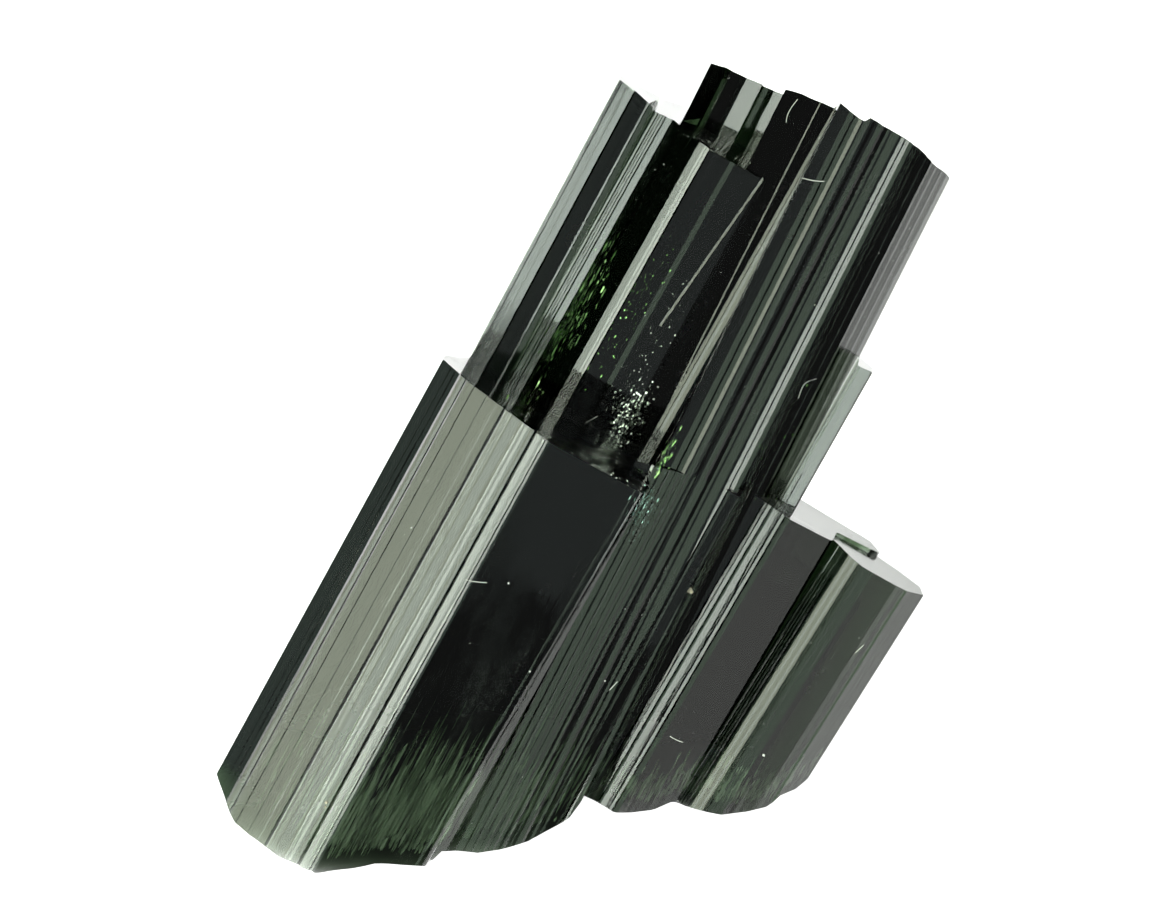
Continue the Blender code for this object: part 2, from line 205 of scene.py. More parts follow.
# where each prism is broken off, seen square on: (across, height along the axis)
topBreak = {
    "line": [
        (-2.7, 14.36), (-2.05, 14.52), (-0.80, 14.60), (0.02, 14.70), (0.55, 14.86), (1.85, 14.95),
        (2.25, 14.86),
        (2.60, 14.76), (2.88, 14.76), (2.96, 14.95), (4.30, 14.94), (5.00, 14.86), (5.50, 14.72),
        (6.40, 14.60),
    ],
    "slope": -0.29, "rough": 0.05, "layer": 7.7, "fine": 0.02, "fineLayer": 2.2,
}
baseBreak = {
    "line": [
        (-6.6, -15.0), (-5.83, -15.85), (-5.40, -16.25), (-5.00, -16.65), (-4.60, -16.95), (-4.00, -17.1),
        (-2.90, -17.15), (-1.90, -17.3), (-1.30, -17.0), (-0.40, -16.3), (0.20, -15.8), (0.80, -15.5),
        (1.86, -14.95), (1.92, -14.4), (2.40, -14.1), (3.10, -13.8), (3.70, -13.3), (4.40, -12.6),
        (5.10, -11.5),
        (5.30, -11.1), (5.36, -10.3), (6.50, -10.3), (7.00, -10.0), (7.60, -9.6), (8.05, -9.0), (8.50, -8.95),
        (9.00, -8.8), (9.70, -8.6), (10.40, -8.1), (10.95, -7.6), (11.10, -7.1), (11.50, -6.6), (11.75, -5.9),
        (12.6, -4.6),
    ],
    "slope": -0.25, "rough": 0.09, "layer": 3.1, "fine": 0.0, "fineLayer": 9.2,
    "hollowDeep": 1.5, "hollowGrain": 0.42, "hollowBias": 0.12, "hollowFrom": 2.6, "hollowFull": 4.2,
    "hollowLayer": 5.3, "hollowFine": 0.015, "hollowFineLayer": 4.4,
    "pads": [(0.6, 5.4), (7.9, 6.3)], "padRadius": 1.5, "padFade": 1.0,
}
# how rough a break is: noise per mm for its swell and for its small stepped flakes
breakNoise = {"swell": 0.9, "steps": 2.6, "stepHigh": 1.6, "splinters": 6.0, "splinterHigh": 0.5,
              "splinterLayer": 3}
breakGrid = {"across": (-7.0, 13.4), "deep": (-1.5, 12.5), "step": 0.12, "above": 24, "below": -26}
groundSize = 80
# how far along the axis, or toward the back, a face looks when it counts as one of these
markedFaces = {"top": 0.6, "base": -0.35, "back": 0.25}

stone = {
    "colour": (0.14, 0.27, 0.10, 1), "perMetre": 3050, "ior": 1.63, "clean": 0.02, "dull": 0.13,
    "strokeHigh": 0.0000004, "pitDeep": 0.000003, "topRough": 0.08, "baseRough": 0.6, "backRough": 0.13,
}
# noise scale, stretch along the axis and detail, for what marks the faces
skinNoise = {"strokes": (16000, 0.012, 2.0), "pits": (15000, 0.6, 2.0), "patches": (900, 0.25, 3),
             "speckle": (9000, 0.5, 2.0)}
# where each noise starts and ends, and what it then gives
skinRange = {"pits": (0.74, 0.84, 0, -1), "patches": (0.42, 0.70, stone["clean"], stone["dull"]),
             "speckle": (0.3, 0.7, 0.6, 1.3)}


def pose():
    turns = Matrix.Rotation(math.radians(stand["heading"]), 4, "Z")
    turns = turns @ Matrix.Rotation(math.radians(stand["lean"]), 4, "Y")
    turns = turns @ Matrix.Rotation(math.radians(stand["turn"]), 4, "Z")
    return Matrix.Translation(Vector(stand["origin"]) * mm) @ turns


def axisUp():
    return pose().to_3x3() @ Vector((0, 0, 1))


def lookingWay():
    rise = math.radians(view["elevation"])
    return Vector((0, math.cos(rise), -math.sin(rise)))


def unevenSteps(length, finest, coarsest, chance):
    steps = []
    while sum(steps) < length:
        steps.append(chance.uniform(finest, coarsest))
    scale = length / sum(steps)
    return [step * scale for step in steps]


def walkFace(points, end, facing, uneven, chance):
    # narrow growth steps that swing about the face's own facing, and still end where a flat face would
    across, deep = points[-1]
    if uneven == 0:
        points.append((end, deep + math.tan(math.radians(facing)) * (end - across)))
        return
    widths = unevenSteps(end - across, growth["finest"], growth["coarsest"], chance)
    tilts = [math.tan(math.radians(facing + chance.gauss(0, uneven))) for _ in widths]
    drift = sum(w * t for w, t in zip(widths, tilts)) / (end - across) - math.tan(math.radians(facing))
    for wide, tilt in zip(widths, tilts):
        across, deep = across + wide, deep + wide * (tilt - drift)
        points.append((across, deep))


def walkBack(points, corner, chance):
    start, end = Vector(points[-1]), Vector(corner)
    run = end - start
    outward = Vector((run.y, -run.x)).normalized()
    steps = max(1, round(run.length / growth["backPitch"]))
    swing = growth["backPitch"] * math.tan(math.radians(growth["backUneven"]))
    for index in range(1, steps):
        share = (index + chance.uniform(-growth["backShift"], growth["backShift"])) / steps
        points.append(tuple(start + run * share - outward * chance.uniform(0, swing)))
    points.append(tuple(end))


def outlineOf(prism, chance):
    points = [prism["start"]]
    for face in prism["faces"]:
        if len(face) == 2:
            points.append(face)
        else:
            walkFace(points, *face, chance)
    for corner in prism["back"]:
        walkBack(points, corner, chance)
    walkBack(points, prism["start"], chance)
    return points[:-1]


def raisedVerts(raised):
    return [part for part in raised["geom"] if isinstance(part, bmesh.types.BMVert)]


def growPrism(name, prism, chance):
    points = outlineOf(prism, chance)
    solid = bmesh.new()
    root = prism.get("root", growth["root"])
    rim = [solid.verts.new(Vector((x, y, root)) * mm) for x, y in points]
    solid.faces.new(rim)
    raised = bmesh.ops.extrude_face_region(solid, geom=solid.faces[:])
    risen = set(raisedVerts(raised))
    slope = prism.get("slope", (0, 0))
    for vert, (x, y) in zip(rim, points):
        tilt = slope[0] * (x - points[0][0]) + slope[1] * (y - points[0][1])
        partner = next(edge.other_vert(vert) for edge in vert.link_edges if edge.other_vert(vert) in risen)
        partner.co.z = (prism["top"] + tilt) * mm
    if "edge" in prism:
        # this corner runs a little aslant, out at the top and in at the root
        beyond, before, out, aslant = prism["edge"]
        slant = math.tan(math.radians(aslant))
        for vert in solid.verts:
            if vert.co.y < before * mm:
                share = min(max(vert.co.x / (beyond * mm), 0), 1)
                vert.co.x += share * (out * mm + (vert.co.z - prism["top"] * mm) * slant)
    foot = Vector((sum(x for x, _ in points) / len(points), 0, prism["drawnAt"])) * mm
    lean = Matrix.Rotation(math.radians(prism["lean"]), 4, "Y")
    leaned = Matrix.Translation(foot) @ lean @ Matrix.Translation(-foot)
    bmesh.ops.transform(solid, verts=solid.verts, matrix=leaned)
    bmesh.ops.recalc_face_normals(solid, faces=solid.faces)
    return meshObject(name, solid)


def meshObject(name, solid):
    mesh = bpy.data.meshes.new(name)
    solid.to_mesh(mesh)
    solid.free()
    made = bpy.data.objects.new(name, mesh)
    bpy.context.scene.collection.objects.link(made)
    return made


def combine(body, other, operation):
    step = body.modifiers.new("step", "BOOLEAN")
    step.object, step.operation, step.solver = other, operation, "EXACT"
    bpy.context.view_layer.update()
    evaluated = body.evaluated_get(bpy.context.evaluated_depsgraph_get())
    result = bpy.data.meshes.new_from_object(evaluated)
    body.modifiers.clear()
    body.data = result
    bpy.data.objects.remove(other, do_unlink=True)


def readOff(line, place):
    for (x0, y0), (x1, y1) in zip(line, line[1:]):
        if x0 <= place <= x1:
            return y0 + (y1 - y0) * (place - x0) / (x1 - x0)
    return line[0][1] if place < line[0][0] else line[-1][1]


def eased(value, start, full):
    share = min(max((value - start) / (full - start), 0), 1)
    return share * share * (3 - 2 * share)


def chips(across, deep, layer, grain):
    return noise.noise(Vector((across * grain, deep * grain, layer)))


def fineChips(across, deep, layer):
    # small stepped flakes, as glass and tourmaline break
    cell = chips(across, deep, layer, breakNoise["steps"])
    splinters = chips(across, deep, layer + breakNoise["splinterLayer"], breakNoise["splinters"])
    return abs(cell) * breakNoise["stepHigh"] + splinters * breakNoise["splinterHigh"]


def brokenHeight(broken, across, deep):
    swell = chips(across, deep, broken["layer"], breakNoise["swell"]) * broken["rough"]
    rough = swell + fineChips(across, deep, broken["fineLayer"]) * broken["fine"]
    return readOff(broken["line"], across) + broken["slope"] * deep + rough


def topHeight(across, deep):
    return brokenHeight(topBreak, across, deep)


def groundHeight(across, deep):
    up = pose().to_3x3().transposed() @ Vector((0, 0, 1))
    return (-stand["origin"][2] - up.x * across - up.y * deep) / up.z


def baseHeight(across, deep):
    edge = brokenHeight(baseBreak, across, deep)
    fromPad = min((Vector((across, deep)) - Vector(pad)).length for pad in baseBreak["pads"])
    share = eased(deep, baseBreak["hollowFrom"], baseBreak["hollowFull"])
    share *= eased(fromPad, baseBreak["padRadius"], baseBreak["padRadius"] + baseBreak["padFade"])
    hollow = chips(across, deep, baseBreak["hollowLayer"], baseBreak["hollowGrain"]) + baseBreak["hollowBias"]
    hollow += fineChips(across, deep, baseBreak["hollowFineLayer"]) * baseBreak["hollowFine"]
    return max(edge, groundHeight(across, deep) + hollow * baseBreak["hollowDeep"] * share)


def breakSlab(name, height, farSide):
    (left, right), (near, far) = breakGrid["across"], breakGrid["deep"]
    slab = bmesh.new()
    columns = round((right - left) / breakGrid["step"])
    rows = round((far - near) / breakGrid["step"])
    bmesh.ops.create_grid(slab, x_segments=columns, y_segments=rows, size=0.5)
    for vert in slab.verts:
        across = left + (vert.co.x + 0.5) * (right - left)
        deep = near + (vert.co.y + 0.5) * (far - near)
        vert.co = Vector((across, deep, height(across, deep))) * mm
    raised = bmesh.ops.extrude_face_region(slab, geom=slab.faces[:])
    for vert in raisedVerts(raised):
        vert.co.z = farSide * mm
    bmesh.ops.recalc_face_normals(slab, faces=slab.faces)
    return meshObject(name, slab)


def groundBlock():
    block = bmesh.new()
    size = groundSize * mm
    bmesh.ops.create_cube(block, size=size)
    bmesh.ops.translate(block, verts=block.verts, vec=(0, 0, -size / 2))
    bmesh.ops.transform(block, verts=block.verts, matrix=pose().inverted())
    return meshObject("ground", block)


def growCrystal():
    chance = random.Random(growth["seed"])
    tall = growPrism("tall", tallPrism, chance)
    combine(tall, growPrism("rib", ribPrism, chance), "UNION")
    combine(tall, breakSlab("topBreak", topHeight, breakGrid["above"]), "DIFFERENCE")
    crystal = growPrism("front", frontPrism, chance)
    crystal.name = "tourmalineCrystal"
    others = {
        "spur": spurPrism, "spurCore": spurCorePrism, "left": leftPrism, "slant": slantPrism,
        "lower": lowerPrism, "splinter": splinterPrism, "ledge": ledgePrism, "wedge": wedgePrism,
        "right": rightPrism, "back": backPrism, "far": farPrism,
    }
    combine(crystal, tall, "UNION")
    for name, prism in others.items():
        combine(crystal, growPrism(name, prism, chance), "UNION")
        print("joined", name, len(crystal.data.polygons))
    combine(crystal, breakSlab("baseBreak", baseHeight, breakGrid["below"]), "DIFFERENCE")
    combine(crystal, groundBlock(), "DIFFERENCE")
    crystal.data.transform(pose())
    markFaces(crystal.data)
    print("crystal faces", len(crystal.data.polygons))
    return crystal


def markFaces(mesh):
    # how much rougher than the sides the broken ends and the back are
    axis = axisUp()
    breaks = mesh.attributes.new("broken", "FLOAT", "FACE")
    for face, mark in zip(mesh.polygons, breaks.data):
        facing = face.normal.dot(axis)
        if facing > markedFaces["top"]:
            mark.value = stone["topRough"]
        elif facing < markedFaces["base"]:
            mark.value = stone["baseRough"]
        elif face.normal.y > markedFaces["back"]:
            mark.value = stone["backRough"]


def tourmaline():
    made = bpy.data.materials.new("greenTourmaline")
    made.use_nodes = True
    nodes, links = made.node_tree.nodes, made.node_tree.links
    skin = nodes["Principled BSDF"]
    skin.inputs["Base Color"].default_value = (1, 1, 1, 1)
    skin.inputs["IOR"].default_value = stone["ior"]
    skin.inputs["Transmission Weight"].default_value = 1

    place = nodes.new("ShaderNodeTexCoord")
    turned = nodes.new("ShaderNodeMapping")
    turned.inputs["Rotation"].default_value = pose().inverted().to_euler()
    links.new(place.outputs["Object"], turned.inputs["Vector"])

    def noiseAt(name):
        scale, stretch, detail = skinNoise[name]
        drawn = nodes.new("ShaderNodeMapping")
        drawn.inputs["Scale"].default_value = (1, 1, stretch)
        grain = nodes.new("ShaderNodeTexNoise")
        grain.inputs["Scale"].default_value = scale
        grain.inputs["Detail"].default_value = detail
        links.new(turned.outputs["Vector"], drawn.inputs["Vector"])
        links.new(drawn.outputs["Vector"], grain.inputs["Vector"])
        return grain.outputs["Fac"]

    def ranged(value, name):
        low, high, outLow, outHigh = skinRange[name]
        span = nodes.new("ShaderNodeMapRange")
        span.inputs["From Min"].default_value, span.inputs["From Max"].default_value = low, high
        span.inputs["To Min"].default_value, span.inputs["To Max"].default_value = outLow, outHigh
        links.new(value, span.inputs["Value"])
        return span.outputs["Result"]

    strokes = noiseAt("strokes")      # growth lines finer than the cut steps
    pits = ranged(noiseAt("pits"), "pits")
    patches = noiseAt("patches")      # where handling has dulled the surface
    dull = nodes.new("ShaderNodeMath")
    dull.operation = "MULTIPLY"
    links.new(ranged(patches, "patches"), dull.inputs[0])
    links.new(ranged(noiseAt("speckle"), "speckle"), dull.inputs[1])
    broken = nodes.new("ShaderNodeAttribute")
    broken.attribute_name = "broken"
    worn = nodes.new("ShaderNodeMath")
    links.new(broken.outputs["Fac"], worn.inputs[0])
    links.new(dull.outputs["Value"], worn.inputs[1])
    links.new(worn.outputs["Value"], skin.inputs["Roughness"])

    def bump(height, distance, below):
        raised = nodes.new("ShaderNodeBump")
        raised.inputs["Distance"].default_value = distance
        links.new(height, raised.inputs["Height"])
        if below:
            links.new(below, raised.inputs["Normal"])
        return raised.outputs["Normal"]

    lined = bump(strokes, stone["strokeHigh"], None)
    links.new(bump(pits, stone["pitDeep"], lined), skin.inputs["Normal"])

    depth = nodes.new("ShaderNodeVolumeAbsorption")
    depth.inputs["Color"].default_value = stone["colour"]
    depth.inputs["Density"].default_value = stone["perMetre"]
    links.new(depth.outputs["Volume"], nodes["Material Output"].inputs["Volume"])
    return made


# how flakes turn from the front, in degrees: those that flash together, and the rest
flakeTurns = {"flash": (15, 31), "loose": (-55, 55)}
flakeShape = {"cornersNear": 0.55, "cornersFar": 1.15, "thick": 0.06, "spreadShare": 0.6}
# heights along the axis look this much shorter from the front; clear and reach keep the tubes inside
baseRise = {"foreshortened": 0.968, "clear": 0.3, "reach": 0.58}
# small things on and just under the faces; middle and spread are (across, along) in mm from the front,
# within is how much of its turn a flake keeps inside the glass, and above starts it at the broken base
flakeGroups = {
    "greenGlints": {
        "count": 560, "middle": (-2.66, 4.5), "spread": (0.40, 2.2), "wide": (0.015, 0.07),
        "long": (0.06, 0.50), "under": (0.08, 0.36), "flash": 0.6, "nod": 7, "within": 0.62,
        "look": "glint",
    },
    "glintsRight": {
        "count": 200, "middle": (-1.05, 5.2), "spread": (0.46, 2.2), "wide": (0.015, 0.05),
        "long": (0.03, 0.14), "under": (0.10, 0.36), "flash": 0.45, "nod": 10, "within": 0.62,
        "look": "glint",
    },
    "brokenPatch": {
        "count": 420, "middle": (0.60, 2.15), "spread": (0.46, 0.95), "wide": (0.02, 0.08),
        "long": (0.03, 0.16), "under": (0.0, 0.14), "flash": 0.55, "nod": 12, "within": 0.62,
        "look": "silver",
    },
    "patchTrail": {
        "count": 130, "middle": (0.10, 4.4), "spread": (0.5, 2.4), "wide": (0.015, 0.035),
        "long": (0.02, 0.08), "under": (0.02, 0.15), "flash": 0.5, "nod": 12, "within": 0.62,
        "look": "silver",
    },
    "blueVeil": {
        "count": 190, "middle": (2.52, -0.5), "spread": (0.33, 0.66), "wide": (0.02, 0.07),
        "long": (0.05, 0.26), "under": (0.04, 0.25), "flash": 0.7, "nod": 8, "within": 0.62,
        "look": "veil",
    },
    "veilTop": {
        "count": 90, "middle": (2.30, 1.35), "spread": (0.15, 0.75), "wide": (0.02, 0.06),
        "long": (0.06, 0.28), "under": (0.06, 0.3), "flash": 0.7, "nod": 8, "within": 0.62,
        "look": "glint",
    },
    "footRow": {
        "count": 70, "middle": (-1.55, 11.36), "spread": (1.0, 0.14), "wide": (0.02, 0.07),
        "long": (0.02, 0.07), "under": (-0.02, 0.04), "flash": 0.35, "nod": 25, "within": 1.0,
        "look": "silver",
    },
    "ledgePits": {
        "count": 70, "middle": (-2.4, 0.42), "spread": (1.0, 0.24), "wide": (0.015, 0.06),
        "long": (0.012, 0.04), "under": (-0.01, 0.02), "flash": 0.4, "nod": 20, "within": 1.0,
        "look": "silver",
    },
    "ledgeEdge": {
        "count": 60, "middle": (0.8, 0.0), "spread": (1.2, 0.05), "wide": (0.02, 0.08),
        "long": (0.01, 0.025), "under": (-0.01, 0.015), "flash": 0.4, "nod": 20, "within": 1.0,
        "look": "silver",
    },
    "flankGreen": {
        "count": 50, "middle": (5.6, 3.0), "spread": (0.55, 1.6), "wide": (0.02, 0.06),
        "long": (0.03, 0.14), "under": (0.2, 0.5), "flash": 0.3, "nod": 14, "within": 0.62,
        "look": "glint",
    },
    "tubesFront": {
        "count": 1500, "middle": (0.2, 0), "spread": (2.8, 2.4), "above": True, "wide": (0.02, 0.11),
        "long": (0.4, 2.4), "under": (0.12, 0.42), "flash": 0.0, "nod": 0.3, "within": 1.0,
        "look": "tube",
    },
    "tubesLower": {
        "count": 260, "middle": (3.2, 0), "spread": (1.8, 2.2), "above": True, "wide": (0.02, 0.10),
        "long": (0.4, 2.0), "under": (0.20, 0.55), "flash": 0.0, "nod": 0.3, "within": 1.0,
        "look": "tube",
    },
    "tubesRight": {
        "count": 520, "middle": (8.6, 0), "spread": (3.4, 0.9), "above": True, "wide": (0.02, 0.09),
        "long": (0.2, 0.9), "under": (0.10, 0.40), "flash": 0.0, "nod": 0.3, "within": 1.0,
        "look": "tube",
    },
    "bodyStars": {
        "count": 110, "middle": (3.2, -1.0), "spread": (3.4, 6.5), "wide": (0.010, 0.03),
        "long": (0.012, 0.035), "under": (0.0, 0.04), "flash": 0.3, "nod": 20, "within": 1.0,
        "look": "silver",
    },
    "frontStars": {
        "count": 110, "middle": (-1.8, -6.0), "spread": (2.6, 5.5), "wide": (0.010, 0.028),
        "long": (0.012, 0.045), "under": (0.0, 0.03), "flash": 0.3, "nod": 20, "within": 1.0,
        "look": "silver",
    },
}
# single grains: (across, along, size)
grains = {
    "cream": [(5.23, -2.20, 0.13), (5.16, -2.13, 0.08), (-2.20, -14.25, 0.11), (-2.14, -14.40, 0.07)],
    "white": [(9.97, -5.87, 0.09), (-0.30, -4.83, 0.06), (1.73, -7.10, 0.06), (0.03, 3.43, 0.05),
    (0.20, 3.47, 0.04),
              (1.00, 3.33, 0.06), (1.07, 2.90, 0.07), (0.50, 3.17, 0.04), (0.40, 2.27, 0.06),
              (0.80, 1.10, 0.04),
              (-2.37, 10.0, 0.05), (-2.55, 9.7, 0.04), (5.35, 10.7, 0.03), (4.1, -6.2, 0.05),
              (0.80, 0.17, 0.04),
              (-4.3, -3.1, 0.04), (6.2, -3.0, 0.04), (10.9, -0.9, 0.03)],
}
grainShape = {"dent": -0.3, "swell": 0.25, "lift": 0.2}
# lint: points (across, along), lifted a little off the face
fibreShape = {"radius": 0.011, "lift": 0.03}
fibres = {
    "pale": [[(1.93, 11.67), (2.20, 11.74), (2.42, 11.83), (2.60, 11.92)],
             [(-1.60, -5.40), (-1.38, -5.36), (-1.15, -5.25), (-0.95, -5.16)],
             [(0.67, 14.26), (0.55, 14.0), (0.48, 13.67), (0.50, 13.3), (0.58, 13.15)],
             [(-0.57, 1.10), (-0.48, 1.22), (-0.40, 1.38), (-0.33, 1.50)],
             [(6.90, -6.80), (7.10, -6.83), (7.38, -6.78)],
             [(4.38, -6.40), (4.43, -6.20), (4.48, -6.02)],
             [(11.02, -1.38), (11.08, -1.20), (11.14, -1.02)],
             [(5.30, 5.20), (5.22, 5.55), (5.28, 5.85), (5.52, 6.05)]],
}
# mottle is noise per metre, and how far it dims the colour and swings the roughness
mottling = {"scale": 9000, "dim": 0.7, "smoother": 0.7, "rougher": 1.4}
looks = {
    "glint": {"colour": (0.66, 1.0, 0.46, 1), "metal": 1.0, "rough": 0.16},
    "silver": {"colour": (0.92, 0.96, 0.92, 1), "metal": 0.9, "rough": 0.20},
    "tube": {"colour": (0.25, 0.325, 0.23, 1), "metal": 0.0, "rough": 0.6},
    "veil": {"colour": (0.55, 0.86, 0.80, 1), "metal": 0.85, "rough": 0.25},
    "cream": {"colour": (0.80, 0.74, 0.56, 1), "metal": 0.0, "rough": 0.6},
    "white": {"colour": (0.90, 0.93, 0.88, 1), "metal": 0.0, "rough": 0.5},
    "pale": {"colour": (0.86, 0.88, 0.82, 1), "metal": 0.0, "rough": 0.6},
}


def lookMaterial(name):
    look = looks[name]
    made = bpy.data.materials.new(name)
    made.use_nodes = True
    nodes, links = made.node_tree.nodes, made.node_tree.links
    skin = nodes["Principled BSDF"]
    skin.inputs["Metallic"].default_value = look["metal"]
    place, mottle = nodes.new("ShaderNodeTexCoord"), nodes.new("ShaderNodeTexNoise")
    mottle.inputs["Scale"].default_value = mottling["scale"]
    shade, ramp = nodes.new("ShaderNodeMapRange"), nodes.new("ShaderNodeMix")
    ramp.data_type = "RGBA"
    colour = look["colour"]
    ramp.inputs["A"].default_value = [part * mottling["dim"] for part in colour[:3]] + [1]
    ramp.inputs["B"].default_value = colour
    shade.inputs["To Min"].default_value = look["rough"] * mottling["smoother"]
    shade.inputs["To Max"].default_value = look["rough"] * mottling["rougher"]
    links.new(place.outputs["Object"], mottle.inputs["Vector"])
    links.new(mottle.outputs["Fac"], shade.inputs["Value"])
    links.new(mottle.outputs["Fac"], ramp.inputs["Factor"])
    links.new(ramp.outputs["Result"], skin.inputs["Base Color"])
    links.new(shade.outputs["Result"], skin.inputs["Roughness"])
    return made


rayStart = 60


def frontAxes():
    # the crystal's own across and along as they show from the front, and the way in
    into = lookingWay()
    axis = axisUp()
    along = (axis - into * axis.dot(into)).normalized()
    return into.cross(along), along, into


def faceAt(tree, across, along):
    right, up, into = frontAxes()
    start = (Vector(stand["origin"]) + right * across + up * along - into * rayStart) * mm
    point, normal, _, _ = tree.ray_cast(start, into)
    return point, normal


def addFlake(mesh, at, normal, axis, wide, long, chance):
    # a thin uneven chip, longest along the crystal
    count = chance.choice((4, 5, 6))
    ring = bmesh.ops.create_circle(mesh, cap_ends=True, segments=count, radius=0.5)["verts"]
    for vert in ring:
        vert.co *= chance.uniform(flakeShape["cornersNear"], flakeShape["cornersFar"])
    faces = list({face for vert in ring for face in vert.link_faces})
    raised = bmesh.ops.extrude_face_region(mesh, geom=faces)
    risen = raisedVerts(raised)
    bmesh.ops.translate(mesh, verts=risen, vec=(0, 0, flakeShape["thick"]))
    side = axis.cross(normal).normalized()
    up = normal.cross(side).normalized()
    sized = Matrix((side * wide * mm, up * long * mm, normal * min(wide, long) * mm)).transposed().to_4x4()
    bmesh.ops.transform(mesh, verts=ring + risen, matrix=Matrix.Translation(at) @ sized)


def flakeTurn(group, chance):
    # many flakes lie as the outer growth faces do, mostly the left ones, so they flash together
    if chance.random() < group["flash"]:
        return chance.choice((-1, -1, -1, 1)) * chance.uniform(*flakeTurns["flash"]) * group["within"]
    return chance.uniform(*flakeTurns["loose"])


def addFlakes(name, group, tree, chance):
    mesh = bmesh.new()
    axis = axisUp()
    into = lookingWay()
    front = (axis * into.dot(axis) - into).normalized()
    share = flakeShape["spreadShare"]
    for _ in range(group["count"]):
        across = chance.gauss(group["middle"][0], group["spread"][0] * share)
        along = chance.gauss(group["middle"][1], group["spread"][1] * share)
        long = chance.uniform(*group["long"])
        lower = long * baseRise["reach"]
        if "above" in group:
            # thickest at the broken end, and thinning out upward
            edge = baseRise["foreshortened"] * readOff(baseBreak["line"], across)
            along = edge + baseRise["clear"] + lower + abs(along)
        point, normal = faceAt(tree, across, along)
        if point is None or faceAt(tree, across, along - lower)[0] is None:
            continue
        at = point + into * chance.uniform(*group["under"]) * mm
        turned = Matrix.Rotation(math.radians(flakeTurn(group, chance)), 3, axis) @ front
        turned = Matrix.Rotation(math.radians(chance.gauss(0, group["nod"])), 3, axis.cross(front)) @ turned
        addFlake(mesh, at, turned, axis, chance.uniform(*group["wide"]), long, chance)
    bmesh.ops.recalc_face_normals(mesh, faces=mesh.faces)
    return dressed(meshObject(name, mesh), group["look"])


def addGrains(name, look, places, tree, chance):
    mesh = bmesh.new()
    for across, along, size in places:
        point, normal = faceAt(tree, across, along)
        if point is None:
            continue
        made = bmesh.ops.create_icosphere(mesh, subdivisions=2, radius=size * mm / 2)["verts"]
        for vert in made:
            vert.co *= 1 + chance.uniform(grainShape["dent"], grainShape["swell"])
        bmesh.ops.translate(mesh, verts=made, vec=point + normal * size * mm * grainShape["lift"])
    return dressed(meshObject(name, mesh), look)


def addFibres(name, look, lines, tree):
    data = bpy.data.curves.new(name, "CURVE")
    data.dimensions = "3D"
    data.bevel_depth, data.bevel_resolution = fibreShape["radius"] * mm, 2
    data.use_fill_caps = True
    for line in lines:
        spots = [faceAt(tree, across, along) for across, along in line]
        points = [point + normal * fibreShape["lift"] * mm for point, normal in spots if point is not None]
        spline = data.splines.new("NURBS")
        spline.points.add(len(points) - 1)
        for point, place in zip(spline.points, points):
            point.co = (*place, 1)
        spline.use_endpoint_u, spline.order_u, spline.resolution_u = True, 3, 4
    made = bpy.data.objects.new(name, data)
    bpy.context.scene.collection.objects.link(made)
    return dressed(made, look)


madeLooks = {}


def dressed(piece, look):
    if look not in madeLooks:
        madeLooks[look] = lookMaterial(look)
    piece.data.materials.append(madeLooks[look])
    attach(piece, "root")
    return piece


def mirrorWay(cone, flipped=False):
    # where a side face turned half this angle sends the look from the front; flipped is the same
    # after a broken-off top has mirrored it as well
    axes = pose().to_3x3()
    axis = axisUp()
    along = lookingWay().dot(axis)
    across, toward = axes @ Vector((1, 0, 0)), axes @ Vector((0, -1, 0))
    flat = math.sqrt(1 - along * along)
    turn = math.radians(cone)
    return (across * math.sin(turn) + toward * math.cos(turn)) * flat + axis * (-along if flipped else along)


def panel(name, at, facing, upright, size, light):
    lamp = bpy.data.lights.new(name, "AREA")
    lamp.shape = "RECTANGLE"
    lamp.size, lamp.size_y = size[0] * mm, size[1] * mm
    lamp.color = light["tint"]
    lamp.energy = light["radiance"] * math.pi * lamp.size * lamp.size_y
    lit = bpy.data.objects.new(name, lamp)
    back = -Vector(facing).normalized()
    side = Vector(upright).cross(back).normalized()
    turned = Matrix((side, back.cross(side), back)).transposed().to_4x4()
    lit.matrix_world = Matrix.Translation(Vector(at) * mm) @ turned
    lit.visible_camera = False
    bpy.context.scene.collection.objects.link(lit)


def buildLights():
    axis = axisUp()
    reach = softboxReach["distance"]
    for name, light in softboxes.items():
        way = mirrorWay((light["from"] + light["to"]) / 2, light.get("flipped", False))
        wide = 2 * reach * math.tan(math.radians(light["to"] - light["from"]) / 2)
        at = Vector(softboxReach["middle"]) + way * reach + axis * light.get("raised", 0)
        panel(name, at, -way, axis, (wide, softboxReach["tall"]), light)
    for name, light in floorCards.items():
        panel(name, light["at"], light["aim"], light["upright"], light["size"], light)


def lightTable():
    # brighter far from the crystal, where only the broken tops see it
    made = bpy.data.materials.new("lightTable")
    made.use_nodes = True
    nodes, links = made.node_tree.nodes, made.node_tree.links
    coat = nodes["Principled BSDF"]
    coat.inputs["Base Color"].default_value = (table["paper"], table["paper"], table["paper"], 1)
    coat.inputs["Roughness"].default_value = table["rough"]
    coat.inputs["Specular IOR Level"].default_value = table["shine"]
    coat.inputs["Emission Color"].default_value = (1, 1, 1, 1)
    spot, away = nodes.new("ShaderNodeTexCoord"), nodes.new("ShaderNodeVectorMath")
    away.operation = "LENGTH"
    glow = nodes.new("ShaderNodeMapRange")
    glow.inputs["From Min"].default_value = room["nearEnds"]
    glow.inputs["From Max"].default_value = room["farStarts"]
    glow.inputs["To Min"].default_value = room["tableNear"]
    glow.inputs["To Max"].default_value = room["tableFar"]
    links.new(spot.outputs["Object"], away.inputs[0])
    links.new(away.outputs["Value"], glow.inputs["Value"])
    links.new(glow.outputs["Result"], coat.inputs["Emission Strength"])
    return made


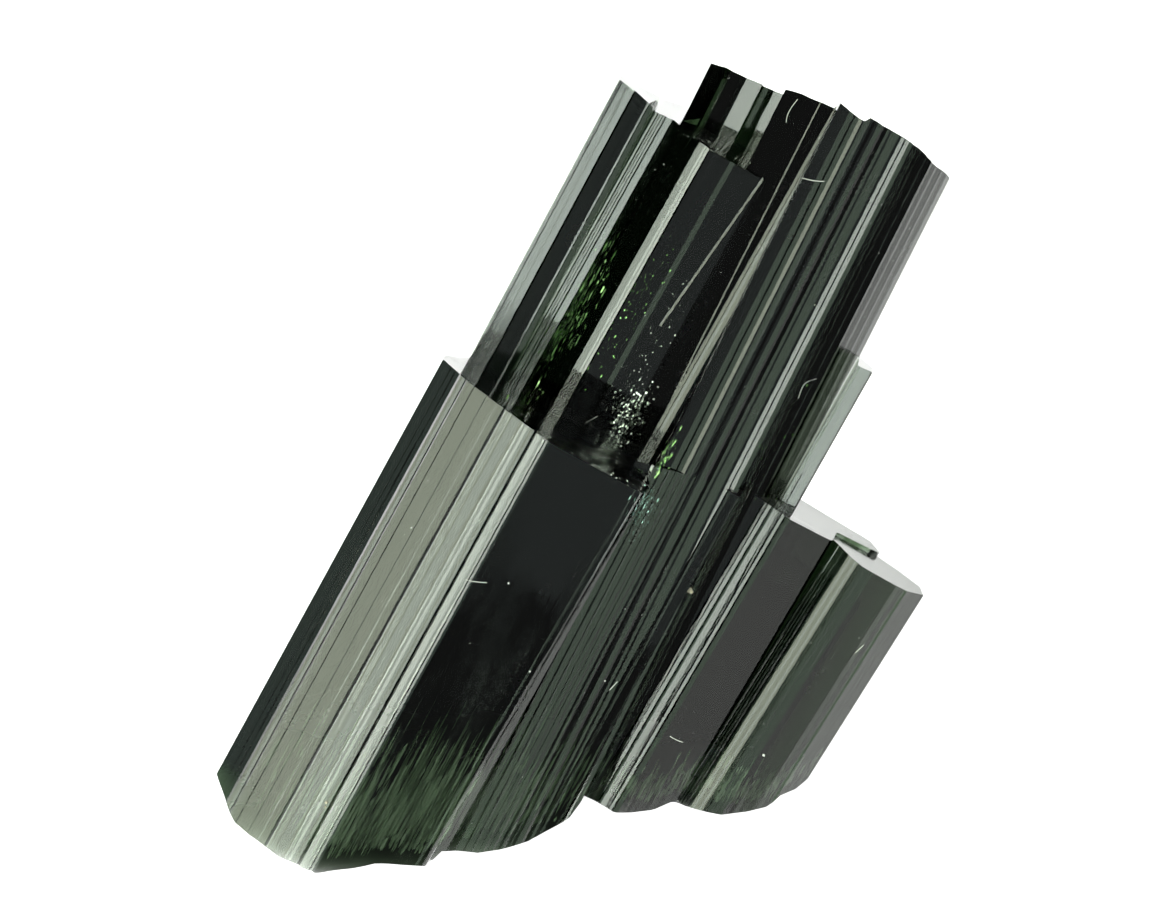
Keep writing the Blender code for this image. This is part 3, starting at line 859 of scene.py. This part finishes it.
def buildStage():
    floorMesh = bmesh.new()
    bmesh.ops.create_grid(floorMesh, x_segments=1, y_segments=1, size=0.5)
    bmesh.ops.scale(floorMesh, verts=floorMesh.verts, vec=(table["wide"], table["deep"], 1))
    bmesh.ops.translate(floorMesh, verts=floorMesh.verts, vec=(0, table["shift"], -table["under"]))
    floor = meshObject("floor", floorMesh)
    floor.data.materials.append(lightTable())


def buildWorld():
    world = bpy.data.worlds.new("studio")
    bpy.context.scene.world = world
    world.use_nodes = True
    nodes, links = world.node_tree.nodes, world.node_tree.links
    dim = nodes["Background"]
    dim.inputs["Color"].default_value = room["dimColour"]
    dim.inputs["Strength"].default_value = room["dim"]
    pale = nodes.new("ShaderNodeBackground")
    pale.inputs["Strength"].default_value = 1.0
    pale.inputs["Color"].default_value = (1, 1, 1, 1)
    path, mix = nodes.new("ShaderNodeLightPath"), nodes.new("ShaderNodeMixShader")
    links.new(path.outputs["Is Camera Ray"], mix.inputs["Fac"])
    links.new(dim.outputs["Background"], mix.inputs[1])
    links.new(pale.outputs["Background"], mix.inputs[2])
    links.new(mix.outputs["Shader"], nodes["World Output"].inputs["Surface"])
    bpy.context.scene.view_settings.view_transform = "Standard"


def buildCamera():
    lens = bpy.data.cameras.new("camera")
    lens.sensor_width = view["sensor"]
    lens.lens = view["sensor"] * view["distance"] / view["frameWide"]
    lens.clip_start, lens.clip_end = view["clipNear"], view["clipFar"]
    eye = bpy.data.objects.new("camera", lens)
    rise = math.radians(view["elevation"])
    back = Vector((0, -math.cos(rise), math.sin(rise)))
    up = Vector((0, math.sin(rise), math.cos(rise)))
    target = Vector(stand["origin"]) + up * view["originBelow"]
    eye.location = (target + back * view["distance"]) * mm
    eye.rotation_euler = (math.pi / 2 - rise, 0, 0)
    bpy.context.scene.collection.objects.link(eye)
    bpy.context.scene.camera = eye


buildCamera()
buildStage()
buildLights()
buildWorld()
print("stage and lights built")
crystal = growCrystal()
crystal.data.materials.clear()
crystal.data.materials.append(tourmaline())
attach(crystal, "root")
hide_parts("tourmaline_cluster")

corners = [vert.co for vert in crystal.data.vertices]
skinTree = BVHTree.FromPolygons(corners, [face.vertices for face in crystal.data.polygons])
speckling = random.Random(21)
for groupName, group in flakeGroups.items():
    addFlakes(groupName, group, skinTree, speckling)
for grainName, places in grains.items():
    addGrains("grains" + grainName.capitalize(), grainName, places, skinTree, speckling)
for fibreName, lines in fibres.items():
    addFibres("lint" + fibreName.capitalize(), fibreName, lines, skinTree)
print("small things placed")
